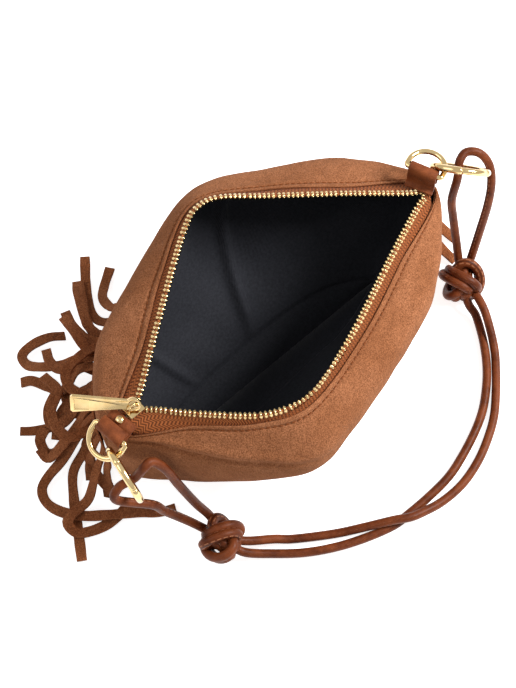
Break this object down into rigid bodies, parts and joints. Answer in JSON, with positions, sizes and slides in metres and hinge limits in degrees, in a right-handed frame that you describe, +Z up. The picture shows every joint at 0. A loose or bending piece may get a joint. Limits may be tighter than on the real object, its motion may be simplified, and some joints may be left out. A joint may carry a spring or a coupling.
{
  "type": "fringed suede bag",
  "caption": "Small fringed suede handbag with a full-width open zip, suede laces along its lower edge and a knotted cord handle held by spring rings.",
  "frame": {"origin": "on the surface that the bag stands on, under the middle of its body", "axes": "+Z up, +X along the mouth from the left end tab, where the slider is, to the right end tab, -Y towards the side on which the handle lies"},
  "size_m": [0.2926, 0.243, 0.105],
  "materials": {
    "suede": "brushed suede nap",
    "fringe_suede": "darker rust-brown suede, cut edges",
    "lining_fabric": "charcoal fine twill",
    "zip_tape": "orange-brown herringbone tape",
    "pale_gold": "polished pale gold plate",
    "tab_leather": "smooth reddish-brown leather",
    "cord_leather": "smooth rolled leather cord with a stitched seam"
  },
  "bodies": {
    "bag": {"back_panel": "suede", "bottom_stop": "pale_gold", "end_tab_left": "tab_leather", "end_tab_right": "tab_leather", "fringe_band": "fringe_suede", "front_panel": "suede", "lace_01": "fringe_suede", "lace_02": "fringe_suede", "lace_03": "fringe_suede", "lace_04": "fringe_suede", "lace_05": "fringe_suede", "lace_06": "fringe_suede", "lace_07": "fringe_suede", "lace_08": "fringe_suede", "lace_09": "fringe_suede", "lace_10": "fringe_suede", "lace_11": "fringe_suede", "lace_12": "fringe_suede", "lace_13": "fringe_suede", "lace_14": "fringe_suede", "lace_15": "fringe_suede", "lace_16": "fringe_suede", "lace_17": "fringe_suede", "lace_18": "fringe_suede", "lace_19": "fringe_suede", "lace_20": "fringe_suede", "lace_21": "fringe_suede", "lace_22": "fringe_suede", "lace_23": "fringe_suede", "lace_24": "fringe_suede", "lace_25": "fringe_suede", "lining": "lining_fabric", "rivet": "pale_gold", "slider": "pale_gold", "top_stop_back": "pale_gold", "top_stop_front": "pale_gold", "zip_tape_back": "zip_tape", "zip_tape_front": "zip_tape"},
    "zip_pull": {"pull_tab": "pale_gold"},
    "left_d_ring": {"d_ring_left": "pale_gold"},
    "right_d_ring": {"d_ring_right": "pale_gold"},
    "handle": {"spring_ring_left": "pale_gold", "spring_ring_right": "pale_gold", "cord_outer_strand": "cord_leather", "cord_inner_strand": "cord_leather", "cord_loop_left": "cord_leather", "cord_loop_right": "cord_leather", "knot_left": "cord_leather", "knot_right": "cord_leather"},
    "left_gate": {"ring_gate_left": "pale_gold"},
    "right_gate": {"ring_gate_right": "pale_gold"}
  },
  "joints": [
    {"name": "handle_swing", "type": "hinge", "parent": "bag", "child": "handle", "pos_m": [-0.11209, -0.01182, 0.07953], "axis": [-0.9973, -0.0079, -0.0735], "range_deg": [0, 100]},
    {"name": "left_d_ring_swing", "type": "hinge", "parent": "bag", "child": "left_d_ring", "pos_m": [-0.104, -0.0035, 0.0855], "axis": [0.1236, -0.9923, 0], "range_deg": [-12, 0]},
    {"name": "right_d_ring_swing", "type": "hinge", "parent": "bag", "child": "right_d_ring", "pos_m": [0.107, -0.004, 0.097], "axis": [0.3827, -0.9239, 0], "range_deg": [0, 12]},
    {"name": "pull_swing", "type": "hinge", "parent": "bag", "child": "zip_pull", "pos_m": [-0.0873, -0.0015, 0.0921], "axis": [0.5903, 0.6337, -0.5], "range_deg": [0, 100]},
    {"name": "left_gate_hinge", "type": "hinge", "parent": "handle", "child": "left_gate", "pos_m": [-0.11263, -0.01983, 0.08817], "axis": [0.9757, -0.1735, 0.1342], "range_deg": [0, 25], "stiffness_Nm_per_rad": 0.02, "springref_deg": -9.74},
    {"name": "right_gate_hinge", "type": "hinge", "parent": "handle", "child": "right_gate", "pos_m": [0.11936, -0.01941, 0.10298], "axis": [0.6484, 0.5267, 0.5497], "range_deg": [0, 25], "stiffness_Nm_per_rad": 0.02, "springref_deg": -9.74}
  ],
  "couplings": [
    {"joint": "left_d_ring_swing", "follows": "handle_swing", "ratio": -0.1},
    {"joint": "right_d_ring_swing", "follows": "handle_swing", "ratio": 0.1}
  ]
}
